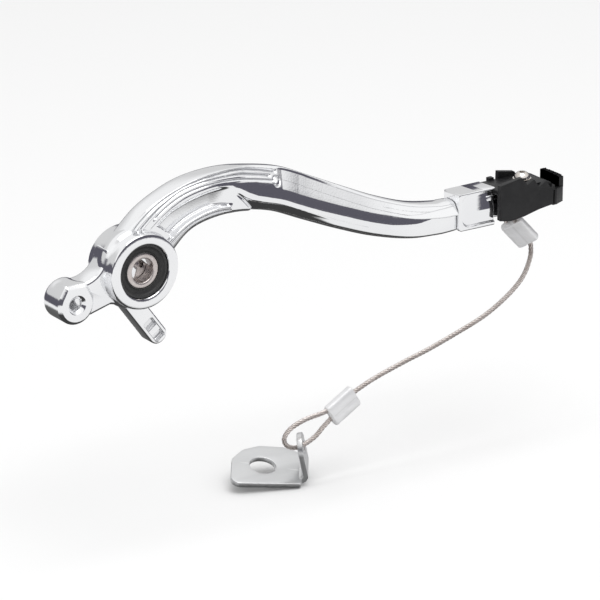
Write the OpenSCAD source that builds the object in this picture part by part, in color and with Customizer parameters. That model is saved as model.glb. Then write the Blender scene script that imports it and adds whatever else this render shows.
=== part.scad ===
// Rear brake pedal of an off-road motorcycle, in millimetres.
// +X runs forward to the step plate, +Z up, and -Y outboard, away from the motorcycle.
// The origin is on the pivot axis, at the middle of the pivot boss.

/* [Pivot] */
// Outer radius of the pivot boss
boss_r = 16; // [15:0.5:19]
// Length of the pivot boss along its axis
boss_l = 20; // [18:0.5:26]
// Radius of the hub behind the boss, where the arm begins
hub_r = 17.5; // [17:0.5:21]
// Radius to which the hub tapers at its inboard end
hub_back_r = 15.6; // [15:0.2:17]
// How far the boss face stands proud of the hub
boss_proud = 4.4; // [2:0.2:6]
// Bore for the pivot bolt, through the inner sleeve
bolt_r = 5; // [4:0.1:5.5]
// Outer radius of the inner sleeve
sleeve_r = 7.5; // [7:0.1:8]
// How far the outboard end of the sleeve lies inside the boss face
sleeve_in = 2; // [1:0.1:3]
// Outer radius of the drawn cup of the needle bearing
cup_r = 10.5; // [10.3:0.1:10.8]
// Wall of the drawn cup
cup_wall = 0.5; // [0.4:0.05:0.7]
// Length of the needle bearing
bearing_l = 11; // [9:0.5:12]
// Number of needle rollers
needle_count = 14; // [8:1:14]
// Outer radius of the two seals
seal_r = 11.5; // [11.2:0.1:12.5]
// Thickness of a seal
seal_l = 3; // [2:0.1:3.4]
// Running clearance on a radius
run_gap = 0.03; // [0.02:0.01:0.06]

/* [Pushrod eye] */
// Distance of the eye behind the pivot axis
eye_back = 30.4; // [28:0.2:36]
// Distance of the eye below the pivot axis
eye_drop = 9; // [6:0.2:12]
// Outer radius of the eye
eye_r = 8.5; // [7.5:0.1:9.5]
// Width of the eye along the pivot axis
eye_l = 13; // [10:0.5:14]
// How far the outboard face of the eye lies inside the boss face
eye_in = 3; // [1:0.2:4]
// Wall radius of the threaded hole in the eye
eye_hole_r = 2.6; // [2:0.1:3.5]
// Radius of the countersink of that hole
eye_sink_r = 3.9; // [3.6:0.1:4.5]
// Chamfer round the outboard face of the eye
eye_edge = 1.2; // [0.4:0.1:1.8]
// Length of the flat on top of the eye
eye_flat = 9.6; // [6:0.2:12]

/* [Arm] */
// Thickness of the arm across the pivot axis
arm_t = 11.5; // [10:0.5:13]
// Depth of the pocket in the outboard face of the arch
pocket_d = 3.2; // [1:0.2:4]
// Depth of the two fine grooves along the upper edge
groove_d = 0.9; // [0.4:0.1:1.2]
// Setback of the lower bevel of the arm
bevel_d = 3.4; // [2:0.2:4]
// Radius of the small round pip where the grooves end
pip_r = 1.7; // [1:0.1:2]

/* [Spring lug] */
// Reach of the lug from the pivot axis, along the lug
lug_l = 34.3; // [30:0.1:38]
// Half width of the lug
lug_r = 4.1; // [3.6:0.1:5]
// Thickness of the lug
lug_t = 8; // [6:0.5:9]
// Depth of the pocket in the lug's outboard face
lug_pocket = 2.4; // [1:0.2:3.6]

/* [End block] */
// Start of the end block, ahead of the pivot axis
block_x = 158; // [156:0.5:162]
// Length of the end block that shows behind the step plate
block_l = 20; // [18:0.5:24]
// Thickness of the end block across the pivot axis
block_t = 12.3; // [12:0.1:14]
// Height of the end block
block_h = 17; // [15:0.5:18]
// Height of the end block's top above the pivot axis
block_top = 1.8; // [1:0.1:3]
// Depth of the panel in the end block's outboard face
panel_d = 0.9; // [0.4:0.1:1.5]
// Width of the rim round that panel
panel_rim = 2.6; // [1.5:0.1:4]
// Width of the tongue that carries the step plate
tongue_w = 9; // [8:0.5:10]
// Height of that tongue
tongue_h = 10.3; // [9:0.1:11]

/* [Step plate] */
// Length of the step plate
plate_l = 35; // [34:0.5:38]
// Width of the step plate
plate_w = 18; // [17:0.5:21]
// Thickness of the step plate's walls
plate_t = 2.2; // [1.8:0.1:2.4]
// Distance between the teeth of the near wall
tooth_pitch = 6.4; // [5.6:0.2:7]
// Depth of those teeth
tooth_d = 3; // [2:0.1:3.4]
// Number of teeth on the end wall
comb_count = 5; // [3:1:6]
// Depth of the teeth on the end wall
comb_d = 5; // [3:0.2:6]
// Height of the near wall's highest tooth above the pivot axis
plate_top = 4.4; // [3:0.1:5]
// Height of the plate's web above the pivot axis
web_top = 0; // [-1:0.1:0.5]
// Thread radius of the screw that holds the step plate
screw_r = 2; // [1.5:0.1:2.5]
// Head radius of that screw
screw_head_r = 3.5; // [3:0.1:4]
// Radius of the washer under the head
washer_r = 4; // [3.8:0.1:5]

/* [Safety cable] */
// Diameter of the wire rope
cable_d = 2.1; // [1.8:0.1:2.1]
// Length of a pressed ferrule
ferrule_l = 13; // [11:0.5:14]
// Width of a pressed ferrule
ferrule_w = 9; // [8:0.2:10]
// Thickness of a pressed ferrule
ferrule_t = 4.2; // [3.6:0.1:5]

/* [Frame tab] */
// Thickness of the bent tab's sheet
tab_t = 2.3; // [2:0.1:3]
// Radius of the tab's bolt hole
tab_hole_r = 5.7; // [5:0.1:6.5]
// Radius of the hole for the cable in the tab's leg
tab_eye_r = 2.4; // [2:0.1:3]

/* [Hidden] */
$fn = 96;

// Bearing sizes that follow from the pivot
needle_r = (cup_r - cup_wall - sleeve_r) / 2 - run_gap / 2;
orbit_r = (cup_r - cup_wall + sleeve_r) / 2;
seat_y = bearing_l / 2 + 0.1;

// Station points down the middle of the arm: forward, up, half height, pocket, bevel
ARM = [
    [2, 3, 13.5, 0, 0], [10.8, 12.4, 12.6, 0.7, 0], [19.7, 19.2, 11.2, 1, 0],
    [28.9, 22.6, 10.7, 1, 0], [41.5, 24, 10.1, 1, 0], [54, 23.3, 9.5, 0, 1],
    [69.5, 19.9, 9.5, 0, 1], [85.5, 13.2, 9.3, 0, 1], [101, 6.6, 9, 0, 0.9],
    [117.5, 0, 8.5, 0, 0.6], [134, -4.9, 7.7, 0, 0.4], [149, -7.2, 7.4, 0, 0.3],
    [block_x - 2, -7.4, 7.5, 0, 0.3], [block_x + 3, -7.2, 7, 0, 0.3]
];
steps = 4;

function knot(i) = ARM[max(0, min(len(ARM) - 1, i))];
// Catmull-Rom blend of four knots
function spline(a, b, c, d, t) = 0.5 * (2 * b + (c - a) * t
    + (2 * a - 5 * b + 4 * c - d) * t * t + (3 * b - a - 3 * c + d) * t * t * t);
function station(i, t) = spline(knot(i - 1), knot(i), knot(i + 1), knot(i + 2), t);
stations = [for (i = [0:len(ARM) - 2]) for (k = [0:steps - 1]) station(i, k / steps),
    knot(len(ARM) - 1)];
function unit(v) = v / norm(v);
function heading(i) = let (a = stations[max(0, i - 1)], b = stations[min(len(stations) - 1, i + 1)])
    unit([b[0] - a[0], b[1] - a[1]]);
function clamp(v, low, high) = max(low, min(high, v));

// Outline of the arm at one station, as [height, outboard] pairs from the top round the front
function section(half, pocket, bevel) = let (
    front = arm_t / 2,
    q = half / 10.5,
    deep = front - pocket_d * clamp(pocket, 0, 1),
    cut = front - groove_d * clamp(1.6 * pocket, 0, 1),
    slope = front - 0.4 - bevel_d * clamp(bevel, 0, 1),
    edge = -6.4 + 1.4 * clamp(bevel, 0, 1))
    [[half, -0.8], [half - 0.5, front - 2.2], [half - 1.4, front - 0.5], [half - 1.9 * q, front - 0.1],
    [8.3 * q, front], [7.9 * q, cut], [7.5 * q, front], [6.6 * q, front],
    [6.2 * q, cut], [5.8 * q, front], [2.8 * q, front], [2 * q, deep],
    [-3.6 * q, deep], [-4.4 * q, front], [edge * q, front], [-8.3 * q, slope],
    [-half + 0.7 * q, slope - 1.2], [-half, slope - 3], [-half + 0.4, 2.2 - front],
    [-half + 2.2, 0.3 - front], [0, -front], [half - 5 * q, 0.4 - front],
    [half - 1.4, 2.6 - front]];

// A closed tube of triangles over rings of equal length
module loft(rings) {
    n = len(rings[0]);
    last = len(rings) - 1;
    sides = [for (r = [0:last - 1]) for (k = [0:n - 1]) let (j = (k + 1) % n)
        each [[r * n + k, r * n + j, (r + 1) * n + j], [r * n + k, (r + 1) * n + j, (r + 1) * n + k]]];
    middle = [for (e = [0, last]) let (s = [for (p = rings[e]) 1]) (s * rings[e]) / n];
    first = [for (k = [0:n - 1]) [(last + 1) * n, (k + 1) % n, k]];
    end = [for (k = [0:n - 1]) [(last + 1) * n + 1, last * n + k, last * n + (k + 1) % n]];
    polyhedron(points = concat([for (r = rings) each r], middle), faces = concat(sides, first, end));
}

module arch() {
    loft([for (i = [0:len(stations) - 1])
        let (s = stations[i], d = heading(i), up = [-d[1], d[0]])
        let (outline = section(s[2], s[3], s[4]), n = len(outline))
        [for (k = [n - 1:-1:0]) let (p = outline[k])
            [s[0] + up[0] * p[0], -p[1], s[1] + up[1] * p[0]]]]);
}

// A disc or ring about an axis along Y, from y0 to y1
module across(r, y0, y1) {
    translate([0, y1, 0]) rotate([90, 0, 0]) cylinder(r = r, h = y1 - y0);
}

// A flat outline in the plane of the arm, from y0 to y1
module slab(y0, y1) {
    translate([0, y1, 0]) rotate([90, 0, 0]) linear_extrude(y1 - y0) children();
}

boss_out = -boss_l / 2;
boss_in = boss_l / 2;
hub_out = boss_out + boss_proud;
hub_in = boss_in - 1;
eye_out = boss_out + eye_in;
eye_inner = eye_out + eye_l;
eye_x = -eye_back;
eye_z = -eye_drop;
web_fillet = 12.2;
web_out = hub_out + 0.8;

module eye_body() {
    translate([eye_x, 0, eye_z]) {
        across(eye_r, eye_out + eye_edge, eye_inner);
        translate([0, eye_out + eye_edge, 0]) rotate([90, 0, 0])
            cylinder(r1 = eye_r, r2 = eye_r - eye_edge, h = eye_edge);
        translate([-eye_flat / 2, 0, 0]) rotate([90, 0, 90]) linear_extrude(eye_flat)
            polygon([[eye_out, 0], [eye_out, eye_r - 1.6 * eye_edge], [eye_out + eye_edge, eye_r],
                [eye_inner, eye_r - 1.6], [eye_inner, 0]]);
    }
}

// Web between the hub and the eye, with a concave top
module eye_web() {
    difference() {
        slab(web_out, eye_inner - 0.4)
            polygon([[eye_x, eye_z + eye_r - 0.8], [-0.7 * hub_r, 0.7 * hub_r], [0, 0],
                [-0.3 * hub_r, -0.85 * hub_r], [-0.76 * hub_r, -0.74 * hub_r],
                [eye_x + 0.9 * eye_r, eye_z - 0.76 * eye_r]]);
        translate([eye_x + 3.6, 0, eye_z + eye_r + web_fillet - 0.8])
            across(web_fillet, web_out - 1, eye_inner + 1);
    }
}

lug_turn = 54;
lug_off = 10.4;
lug_rim = 1.7;
lug_root = 8;

// Flat bar that hangs below the hub, with a pocket open to the outboard side
module spring_lug() {
    difference() {
        slab(-lug_t / 2, lug_t / 2) rotate(-lug_turn) hull() {
            translate([lug_root, -lug_off - lug_r]) square([4, 2 * lug_r]);
            for (v = [-1, 1]) translate([lug_l - 3, -lug_off + v * (lug_r - 2.6)])
                circle(r = 2.6, $fn = 32);
        }
        slab(-lug_t / 2 - 1, lug_pocket - lug_t / 2) rotate(-lug_turn)
            translate([lug_l - 12.5, lug_rim - lug_off - lug_r])
                square([12.5 - lug_rim, 2 * (lug_r - lug_rim)]);
    }
    slab(0.6 - lug_t / 2, 1 - lug_t / 2 + lug_pocket) rotate(-lug_turn)
        translate([lug_l - 8, 0.5 * lug_rim - lug_off - lug_r]) square([3, 2 * lug_r - lug_rim]);
}

block_end = block_x + block_l;
block_low = block_top - block_h;
plate_gap = 0.5;
plate_x = block_end + plate_gap;
plate_end = plate_x + plate_l;
screw_x = plate_x + plate_l / 2 + 0.5;
tongue_top = web_top - plate_t;
tongue_low = tongue_top - tongue_h;
rope_hole_x = plate_x + 0.27 * plate_l;
rope_hole_z = tongue_low + 3;
rope_gap = 0.4;
groove_w = 1.5;

// Square block behind the step plate, and the tongue that the plate sits on
module end_block() {
    difference() {
        slab(-block_t / 2, block_t / 2)
            polygon([[block_x, block_low + 0.6], [block_end, block_low],
                [block_end, block_top], [block_x, block_top - 0.4]]);
        slab(-block_t, panel_d - block_t / 2)
            offset(r = 2, $fn = 32) offset(delta = -2)
                translate([block_x + panel_rim + 1.2, block_low + panel_rim])
                    square([block_l, block_h - 2 * panel_rim]);
        translate([block_x, -block_t / 2, block_top - block_h / 2]) rotate(45)
            cube([groove_w, groove_w, 2 * block_h], center = true);
    }
    translate([block_end - 4, -tongue_w / 2, tongue_low]) cube([screw_x - block_end + 4, tongue_w, tongue_h]);
    translate([screw_x, 0, tongue_low]) cylinder(r = tongue_w / 2, h = tongue_h);
}

pip_x = 68.2;
pip_z = 24;

module pedal_arm() {
    color("silver") difference() {
        union() {
            arch();
            across(boss_r, boss_out, boss_in);
            across(hub_r, hub_out, 2);
            translate([0, hub_in, 0]) rotate([90, 0, 0]) cylinder(r1 = hub_back_r, r2 = hub_r, h = hub_in - 2);
            eye_body();
            eye_web();
            spring_lug();
            end_block();
            translate([pip_x, 0, pip_z]) across(pip_r, -arm_t / 2 - 0.5, 0);
        }
        across(cup_r, boss_out - 1, boss_in + 1);
        across(seal_r, boss_out - 1, -seat_y);
        across(seal_r, seat_y, boss_in + 1);
        translate([eye_x, 0, eye_z]) {
            across(eye_hole_r, eye_out - 1, eye_inner + 1);
            translate([0, eye_out + eye_sink_r - eye_hole_r, 0]) rotate([90, 0, 0])
                cylinder(r1 = eye_hole_r, r2 = eye_sink_r + 0.5, h = eye_sink_r - eye_hole_r + 0.5);
        }
        translate([screw_x, 0, tongue_low - 1]) cylinder(r = screw_r, h = tongue_h + 2);
        translate([rope_hole_x, 0, rope_hole_z]) across(cable_d / 2 + rope_gap, -tongue_w, tongue_w);
    }
}

module bearing_cup() {
    color("dimgray") translate([0, bearing_l / 2, 0]) rotate([90, 0, 0])
        rotate_extrude()
            polygon([[cup_r, 0], [cup_r, bearing_l], [sleeve_r + 1, bearing_l],
                [sleeve_r + 1, bearing_l - cup_wall], [cup_r - cup_wall, bearing_l - cup_wall],
                [cup_r - cup_wall, cup_wall], [sleeve_r + 1, cup_wall], [sleeve_r + 1, 0]]);
}

roller_l = bearing_l - 2 * cup_wall - 1;
cage_l = roller_l + 0.6;

module needle_rollers() {
    color("gainsboro") for (k = [0:needle_count - 1])
        rotate([0, 360 / needle_count * k, 0]) translate([orbit_r, 0, 0])
            across(needle_r, -roller_l / 2, roller_l / 2);
}

module needle_cage() {
    color("darkgoldenrod") difference() {
        across(orbit_r + 0.55, -cage_l / 2, cage_l / 2);
        across(orbit_r - 0.35, -cage_l, cage_l);
        for (k = [0:needle_count - 1])
            rotate([0, 360 / needle_count * k, 0]) translate([orbit_r, 0, 0])
                cube([4, roller_l + 0.1, 2 * needle_r + 0.1], center = true);
    }
}

module pivot_sleeve() {
    color("lightsteelblue") translate([0, boss_in, 0]) rotate([90, 0, 0])
        rotate_extrude() let (l = boss_l - sleeve_in)
            polygon([[bolt_r, 0.5], [bolt_r + 0.5, 0], [sleeve_r - 0.4, 0], [sleeve_r, 0.4],
                [sleeve_r, l - 0.4], [sleeve_r - 0.4, l], [bolt_r + 0.5, l], [bolt_r, l - 0.5]]);
}

// A rubber ring seal with a lip that meets the sleeve
module seal() {
    rotate([90, 0, 0]) rotate_extrude()
        polygon([[seal_r, 0], [seal_r, seal_l - 0.4], [seal_r - 0.4, seal_l],
            [seal_r - 1, seal_l], [seal_r - 1.5, seal_l - 0.6], [sleeve_r + 1, seal_l - 0.9],
            [sleeve_r + run_gap, seal_l - 0.2], [sleeve_r + run_gap, 0.6], [sleeve_r + 1, 0]]);
}

module outer_seal() {
    color("black") translate([0, -seat_y, 0]) seal();
}

module inner_seal() {
    color("black") translate([0, seat_y, 0]) mirror([0, 1, 0]) seal();
}

plate_low = web_top - 13;
plate_in = plate_w / 2 - plate_t;
corner = 4.5;
wall_l = plate_l - corner - 1.5;
first_tooth = wall_l - 2.5 * tooth_pitch - 1.6;

// Height of the near wall's teeth, which fall towards the front
function tooth_z(x) = plate_top - 0.28 * (x - first_tooth);

// Sawtooth outline of the near wall, with its lower edge
module near_outline() {
    polygon(concat([[0, plate_low], [0, plate_top - 1.8]],
        [for (k = [0:2]) let (x = first_tooth + k * tooth_pitch)
            each [[x, tooth_z(x)], [x + 0.44 * tooth_pitch, tooth_z(x) - tooth_d]]],
        [[wall_l, tooth_z(wall_l) - 1], [wall_l, plate_low + 2.6], [0.71 * wall_l, plate_low + 1.5],
        [0.45 * wall_l, plate_low - 0.2], [0.2 * wall_l, plate_low - 1]]));
}

// The far wall has one high block, a low tooth and a small post at its rear end
module far_outline() {
    polygon([[0.19 * wall_l, plate_low], [0.19 * wall_l, plate_top - 3.4], [0.28 * wall_l, plate_top - 3.4],
        [0.3 * wall_l, plate_top - 8], [0.35 * wall_l, plate_top - 8], [0.36 * wall_l, plate_top - 1.2],
        [0.66 * wall_l, plate_top - 2.8], [0.74 * wall_l, plate_top - 6.6],
        [0.84 * wall_l, plate_top - 5], [0.94 * wall_l, plate_top - 8], [wall_l, plate_top - 8],
        [wall_l, plate_low + 2.6], [0.5 * wall_l, plate_low]]);
}

// The end wall stands across the tip, with pointed teeth
module end_wall() {
    pitch = plate_w * 0.82 / comb_count;
    translate([plate_end, 0, 0]) rotate([90, 0, -90]) linear_extrude(plate_t) difference() {
        translate([-plate_in, plate_low + 2]) square([2 * plate_in, web_top - plate_low - 2.6]);
        for (k = [0:comb_count]) translate([(k - comb_count / 2) * pitch, 0])
            polygon([[-0.32 * pitch, web_top], [0, web_top - comb_d], [0.32 * pitch, web_top],
                [0.32 * pitch, web_top + 1], [-0.32 * pitch, web_top + 1]]);
    }
}

// Slanting wall at each front corner of the plate, seen from above
module corner_wall() {
    translate([0, 0, plate_low + 2]) linear_extrude(7)
        polygon([[plate_x + wall_l - 1, plate_w / 2], [plate_x + wall_l + 1, plate_w / 2],
            [plate_end, plate_in], [plate_end, plate_in - 1], [plate_end - plate_t, plate_in - 1],
            [plate_end - plate_t, plate_in - 0.6], [plate_x + wall_l, plate_in],
            [plate_x + wall_l - 1, plate_in]]);
}

floor_z = plate_low + 5.4;

// The web under the screw, which bends down before the end wall
module plate_web() {
    translate([plate_x, 0, 0]) slab(-plate_in - 0.5, plate_in + 0.5)
        polygon([[0, web_top - plate_t], [0, web_top], [0.72 * plate_l, web_top],
            [0.8 * plate_l, web_top - 0.45 * plate_t], [0.86 * plate_l, web_top - 1.5 * plate_t],
            [0.87 * plate_l, floor_z], [plate_l - 1, floor_z], [plate_l - 1, floor_z - plate_t],
            [0.87 * plate_l - plate_t, floor_z - plate_t], [0.85 * plate_l - plate_t, web_top - 1.8 * plate_t],
            [0.79 * plate_l - plate_t, web_top - plate_t]]);
}

module step_plate() {
    color([0.12, 0.12, 0.13]) difference() {
        union() {
            translate([plate_x, 0, 0]) slab(-plate_w / 2, -plate_in) near_outline();
            translate([plate_x, 0, 0]) slab(plate_in, plate_w / 2) far_outline();
            end_wall();
            corner_wall();
            mirror([0, 1, 0]) corner_wall();
            plate_web();
        }
        translate([screw_x, 0, plate_low]) cylinder(r = screw_r + 0.2, h = -plate_low + plate_top);
    }
}

washer_t = 0.8;
head_h = 2.8;

module tip_washer() {
    color("silver") translate([screw_x, 0, web_top]) difference() {
        cylinder(r = washer_r, h = washer_t);
        translate([0, 0, -1]) cylinder(r = screw_r + 0.2, h = washer_t + 2);
    }
}

module tip_screw() {
    color("gainsboro") translate([screw_x, 0, 0]) difference() {
        union() {
            translate([0, 0, tongue_top - tongue_h]) cylinder(r = screw_r - 0.02, h = tongue_h + plate_t + 1);
            translate([0, 0, web_top + washer_t]) rotate_extrude()
                polygon([[0, 0], [screw_head_r, 0], [screw_head_r, 0.5], [screw_head_r - 0.5, 1.5],
                    [screw_head_r - 1.2, 2.3], [screw_head_r - 2, head_h], [0, head_h]]);
        }
        translate([0, 0, web_top + washer_t + 1]) cylinder(r = 1.45, h = 5, $fn = 6);
    }
}

// Route of the wire rope: forward, sideways, up
ROUTE = [
    [198, 0.8, -27.3], [195.1, 0.8, -24.2], [191.2, 1.4, -20], [189, 4.6, -14.6], [188, 5.1, -10.4],
    [188, 2.5, -9.5], [188, -2.5, -9.5], [188, -5.1, -10.4], [189.2, -5, -14], [191.9, -1.8, -17.8],
    [196.5, -0.8, -22.8], [200, -0.8, -26.6], [201.7, -0.2, -31], [201.6, 0, -36.5],
    [198.4, 0, -43.7], [192.7, 0, -49.4], [184, 0, -55], [175, 0, -59.2], [162, 0, -63.4],
    [148, 0, -67.5], [135, 0, -70.6], [120, 0, -74.7], [109.5, 0, -78.7], [101, 0, -82.6],
    [94, 0, -84.6], [84.4, 0, -85.8], [77.3, 0, -88.2], [74, 0, -91.6], [74.7, 0, -95],
    [78.4, 0, -97.2], [83, 0, -97.2], [89.5, 0, -94.6], [93.6, 0, -91.2], [98, 0, -88],
    [101.5, 0, -86.2], [107, 0, -83.4]];
function route(i) = ROUTE[max(0, min(len(ROUTE) - 1, i))];
cable_steps = 2;
line = [for (i = [0:len(ROUTE) - 2]) for (k = [0:cable_steps - 1])
    spline(route(i - 1), route(i), route(i + 1), route(i + 2), k / cable_steps), route(len(ROUTE) - 1)];

function tangent(i) = let (a = line[clamp(i - 1, 0, len(line) - 1)])
    unit(line[clamp(i + 1, 0, len(line) - 1)] - a);
// A side direction that is carried along the rope without twist
sides = [for (i = 0, u = unit(cross([0, 1, 0], tangent(0))); i < len(line);
    i = i + 1, u = unit(u - (u * tangent(min(i, len(line) - 1))) * tangent(min(i, len(line) - 1)))) u];

module safety_cable() {
    color("tan") loft([for (i = [0:len(line) - 1]) let (u = sides[i], v = cross(tangent(i), u))
        [for (k = [0:7]) line[i] + cable_d / 2 * (cos(45 * k) * v + sin(45 * k) * u)]]);
}

// A flat oval sleeve pressed round two strands of the rope
module ferrule(hole) {
    difference() {
        rotate([90, 0, 90]) linear_extrude(ferrule_l, center = true)
            hull() for (s = [-1, 1]) translate([s * (ferrule_w - ferrule_t) / 2, 0])
                circle(r = ferrule_t / 2, $fn = 24);
        rotate([90, 0, 90]) linear_extrude(ferrule_l + 1, center = true)
            for (s = hole) translate([s, 0]) circle(r = cable_d / 2 + 0.1, $fn = 24);
    }
}

upper_place = [195.8, 0, -23.5];
upper_dip = 47;
upper_roll = -51;
lower_place = [104, 0, -83.1];
lower_rise = 30;

module upper_ferrule() {
    color("silver") translate(upper_place) rotate([0, upper_dip, 0]) rotate([upper_roll, 0, 0])
        ferrule([-1.3, 1.3]);
}

module lower_ferrule() {
    color("silver") translate(lower_place) rotate([0, -lower_rise, 0]) rotate([90, 0, 0])
        ferrule([-1.5, 1.5]);
}

tab_place = [71, 12, -108];
tab_tilt = 16.3;
tab_turn = 34;
tab_front = 15.5;
tab_edge = 13.3;
leg_w = 13;
leg_eye_h = 11.5;

// A sheet with a large bolt hole, bent up at its front into a leg that the rope's loop goes through
module frame_tab() {
    color("lightgray") translate(tab_place) rotate([tab_tilt, 0, -tab_turn]) difference() {
        union() {
            translate([0, 0, -tab_t]) linear_extrude(tab_t) offset(r = 4) offset(delta = -4)
                polygon([[-tab_edge, -16], [tab_front + tab_t, -9], [tab_front + tab_t, 12], [9, 15.5],
                    [-2, 14], [-9, 9.5], [-tab_edge, 2]]);
            translate([tab_front, -leg_w / 2, -tab_t]) cube([tab_t, leg_w, leg_eye_h + tab_t]);
            translate([tab_front, 0, leg_eye_h]) rotate([0, 90, 0]) cylinder(r = leg_w / 2, h = tab_t);
        }
        cylinder(r = tab_hole_r, h = 4 * tab_t, center = true);
        translate([tab_front - 1, 0, leg_eye_h]) rotate([0, 90, 0]) cylinder(r = tab_eye_r, h = tab_t + 2);
    }
}

pedal_arm();
bearing_cup();
needle_cage();
needle_rollers();
pivot_sleeve();
outer_seal();
inner_seal();
step_plate();
tip_screw();
tip_washer();
safety_cable();
upper_ferrule();
lower_ferrule();
frame_tab();
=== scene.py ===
import math
import bpy
import numpy as np
from mathutils import Matrix, Vector


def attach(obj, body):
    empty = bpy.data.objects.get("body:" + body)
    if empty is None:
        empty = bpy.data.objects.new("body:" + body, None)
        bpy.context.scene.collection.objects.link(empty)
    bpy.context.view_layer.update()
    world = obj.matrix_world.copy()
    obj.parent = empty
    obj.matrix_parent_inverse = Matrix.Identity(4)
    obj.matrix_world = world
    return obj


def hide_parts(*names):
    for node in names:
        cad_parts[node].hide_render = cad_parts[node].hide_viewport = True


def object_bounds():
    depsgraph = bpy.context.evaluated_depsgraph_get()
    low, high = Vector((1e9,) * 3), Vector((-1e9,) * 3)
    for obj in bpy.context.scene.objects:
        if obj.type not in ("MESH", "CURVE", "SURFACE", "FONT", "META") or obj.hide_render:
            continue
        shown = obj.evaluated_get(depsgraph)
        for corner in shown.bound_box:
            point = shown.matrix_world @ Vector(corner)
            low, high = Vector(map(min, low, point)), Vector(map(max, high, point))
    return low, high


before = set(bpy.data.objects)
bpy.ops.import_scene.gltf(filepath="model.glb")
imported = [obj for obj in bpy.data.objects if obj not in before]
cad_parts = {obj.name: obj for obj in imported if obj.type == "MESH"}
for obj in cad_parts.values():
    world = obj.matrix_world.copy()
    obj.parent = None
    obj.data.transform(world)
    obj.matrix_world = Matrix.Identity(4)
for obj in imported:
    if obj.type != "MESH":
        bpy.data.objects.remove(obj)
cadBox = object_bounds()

# Lengths below are millimetres in the pedal's frame: +X forward, +Z up, -Y outboard.
# They become metres when a mesh is made.
mm = 0.001
print("frame loaded")

# The camera looks at the outboard side from behind and above
view = {"azimuth": -34.0, "elevation": 20.0, "distance": 1.8, "pixelsPerMm": 2.48,
        "imageSize": 600, "bossPixel": (145.5, 272.3), "bossFace": (0.0, -10 * mm, 0.0),
        "sensor": 36.0, "clipEnd": 50}


def viewAxes(azimuth, elevation):
    # right, up and back of a camera that isn't rolled
    a, e = math.radians(azimuth), math.radians(elevation)
    back = Vector((math.sin(a) * math.cos(e), -math.cos(a) * math.cos(e), math.sin(e)))
    right = Vector((math.cos(a), math.sin(a), 0.0))
    return right, back.cross(right), back


def placeCamera(v):
    # the boss face lands on its own pixel, at its own scale
    right, up, back = viewAxes(v["azimuth"], v["elevation"])
    scale = v["pixelsPerMm"] / mm
    middle = v["imageSize"] / 2
    target = (Vector(v["bossFace"]) + right * (middle - v["bossPixel"][0]) / scale
              - up * (middle - v["bossPixel"][1]) / scale)
    data = bpy.data.cameras.new("photoCamera")
    data.sensor_width = v["sensor"]
    data.lens = v["sensor"] * scale * v["distance"] / v["imageSize"]
    data.clip_end = v["clipEnd"]
    camera = bpy.data.objects.new("photoCamera", data)
    turn = Matrix((right, up, back)).transposed().to_4x4()
    camera.matrix_world = Matrix.Translation(target + back * v["distance"]) @ turn
    bpy.context.scene.collection.objects.link(camera)
    bpy.context.scene.camera = camera


placeCamera(view)
print("camera placed")


def catmullRom(knots, steps):
    # cubic through the knots: each span blends four neighbours, the ends are doubled
    k = np.asarray(knots, float)
    p = np.vstack([k[:1], k, k[-1:]])
    t = np.linspace(0, 1, steps, endpoint=False)[:, None]
    spans = [0.5 * (2 * b + (c - a) * t + (2 * a - 5 * b + 4 * c - d) * t ** 2
                    + (3 * b - a - 3 * c + d) * t ** 3)
             for a, b, c, d in zip(p[:-3], p[1:-2], p[2:-1], p[3:])]
    return np.vstack(spans + [k[-1:]])


def evenly(line, count, axes=3):
    # the same line with its points at equal distances along it
    length = np.r_[0, np.cumsum(np.linalg.norm(np.diff(line[:, :axes], axis=0), axis=1))]
    at = np.linspace(0, length[-1], count)
    return np.stack([np.interp(at, length, column) for column in line.T], axis=1)


def smooth(x, low, high):
    # 0 below low, 1 above high, an S curve between
    t = np.clip((x - low) / (high - low), 0, 1)
    return t * t * (3 - 2 * t)


def band(x, low, high, soft):
    # 1 between low and high, with soft edges
    return smooth(x, low - soft / 2, low + soft / 2) * (1 - smooth(x, high - soft / 2, high + soft / 2))


def unit(v):
    return v / np.maximum(np.linalg.norm(v, axis=-1, keepdims=True), 1e-12)


def shell(rows, ring=False):
    # rows of closed rings joined by quads; the end rings become flat faces, or the last row joins the first
    m, n = rows.shape[:2]
    index = np.arange(m * n).reshape(m, n)
    a = index if ring else index[:-1]
    b = np.roll(index, -1, axis=0) if ring else index[1:]
    quads = np.stack([a, np.roll(a, -1, axis=1), np.roll(b, -1, axis=1), b], axis=-1).reshape(-1, 4)
    caps = [] if ring else [index[0][::-1], index[-1]]
    return rows.reshape(-1, 3), quads, caps


def volume(points, quads, caps):
    # signed: the sum over triangles of a . (b x c) / 6
    tris = np.vstack([quads[:, [0, 1, 2]], quads[:, [0, 2, 3]]]
                     + [np.stack([np.full(len(c) - 2, c[0]), c[1:-1], c[2:]], axis=1) for c in caps])
    a, b, c = points[tris[:, 0]], points[tris[:, 1]], points[tris[:, 2]]
    return np.einsum("ij,ij->i", a, np.cross(b, c)).sum() / 6


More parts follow.
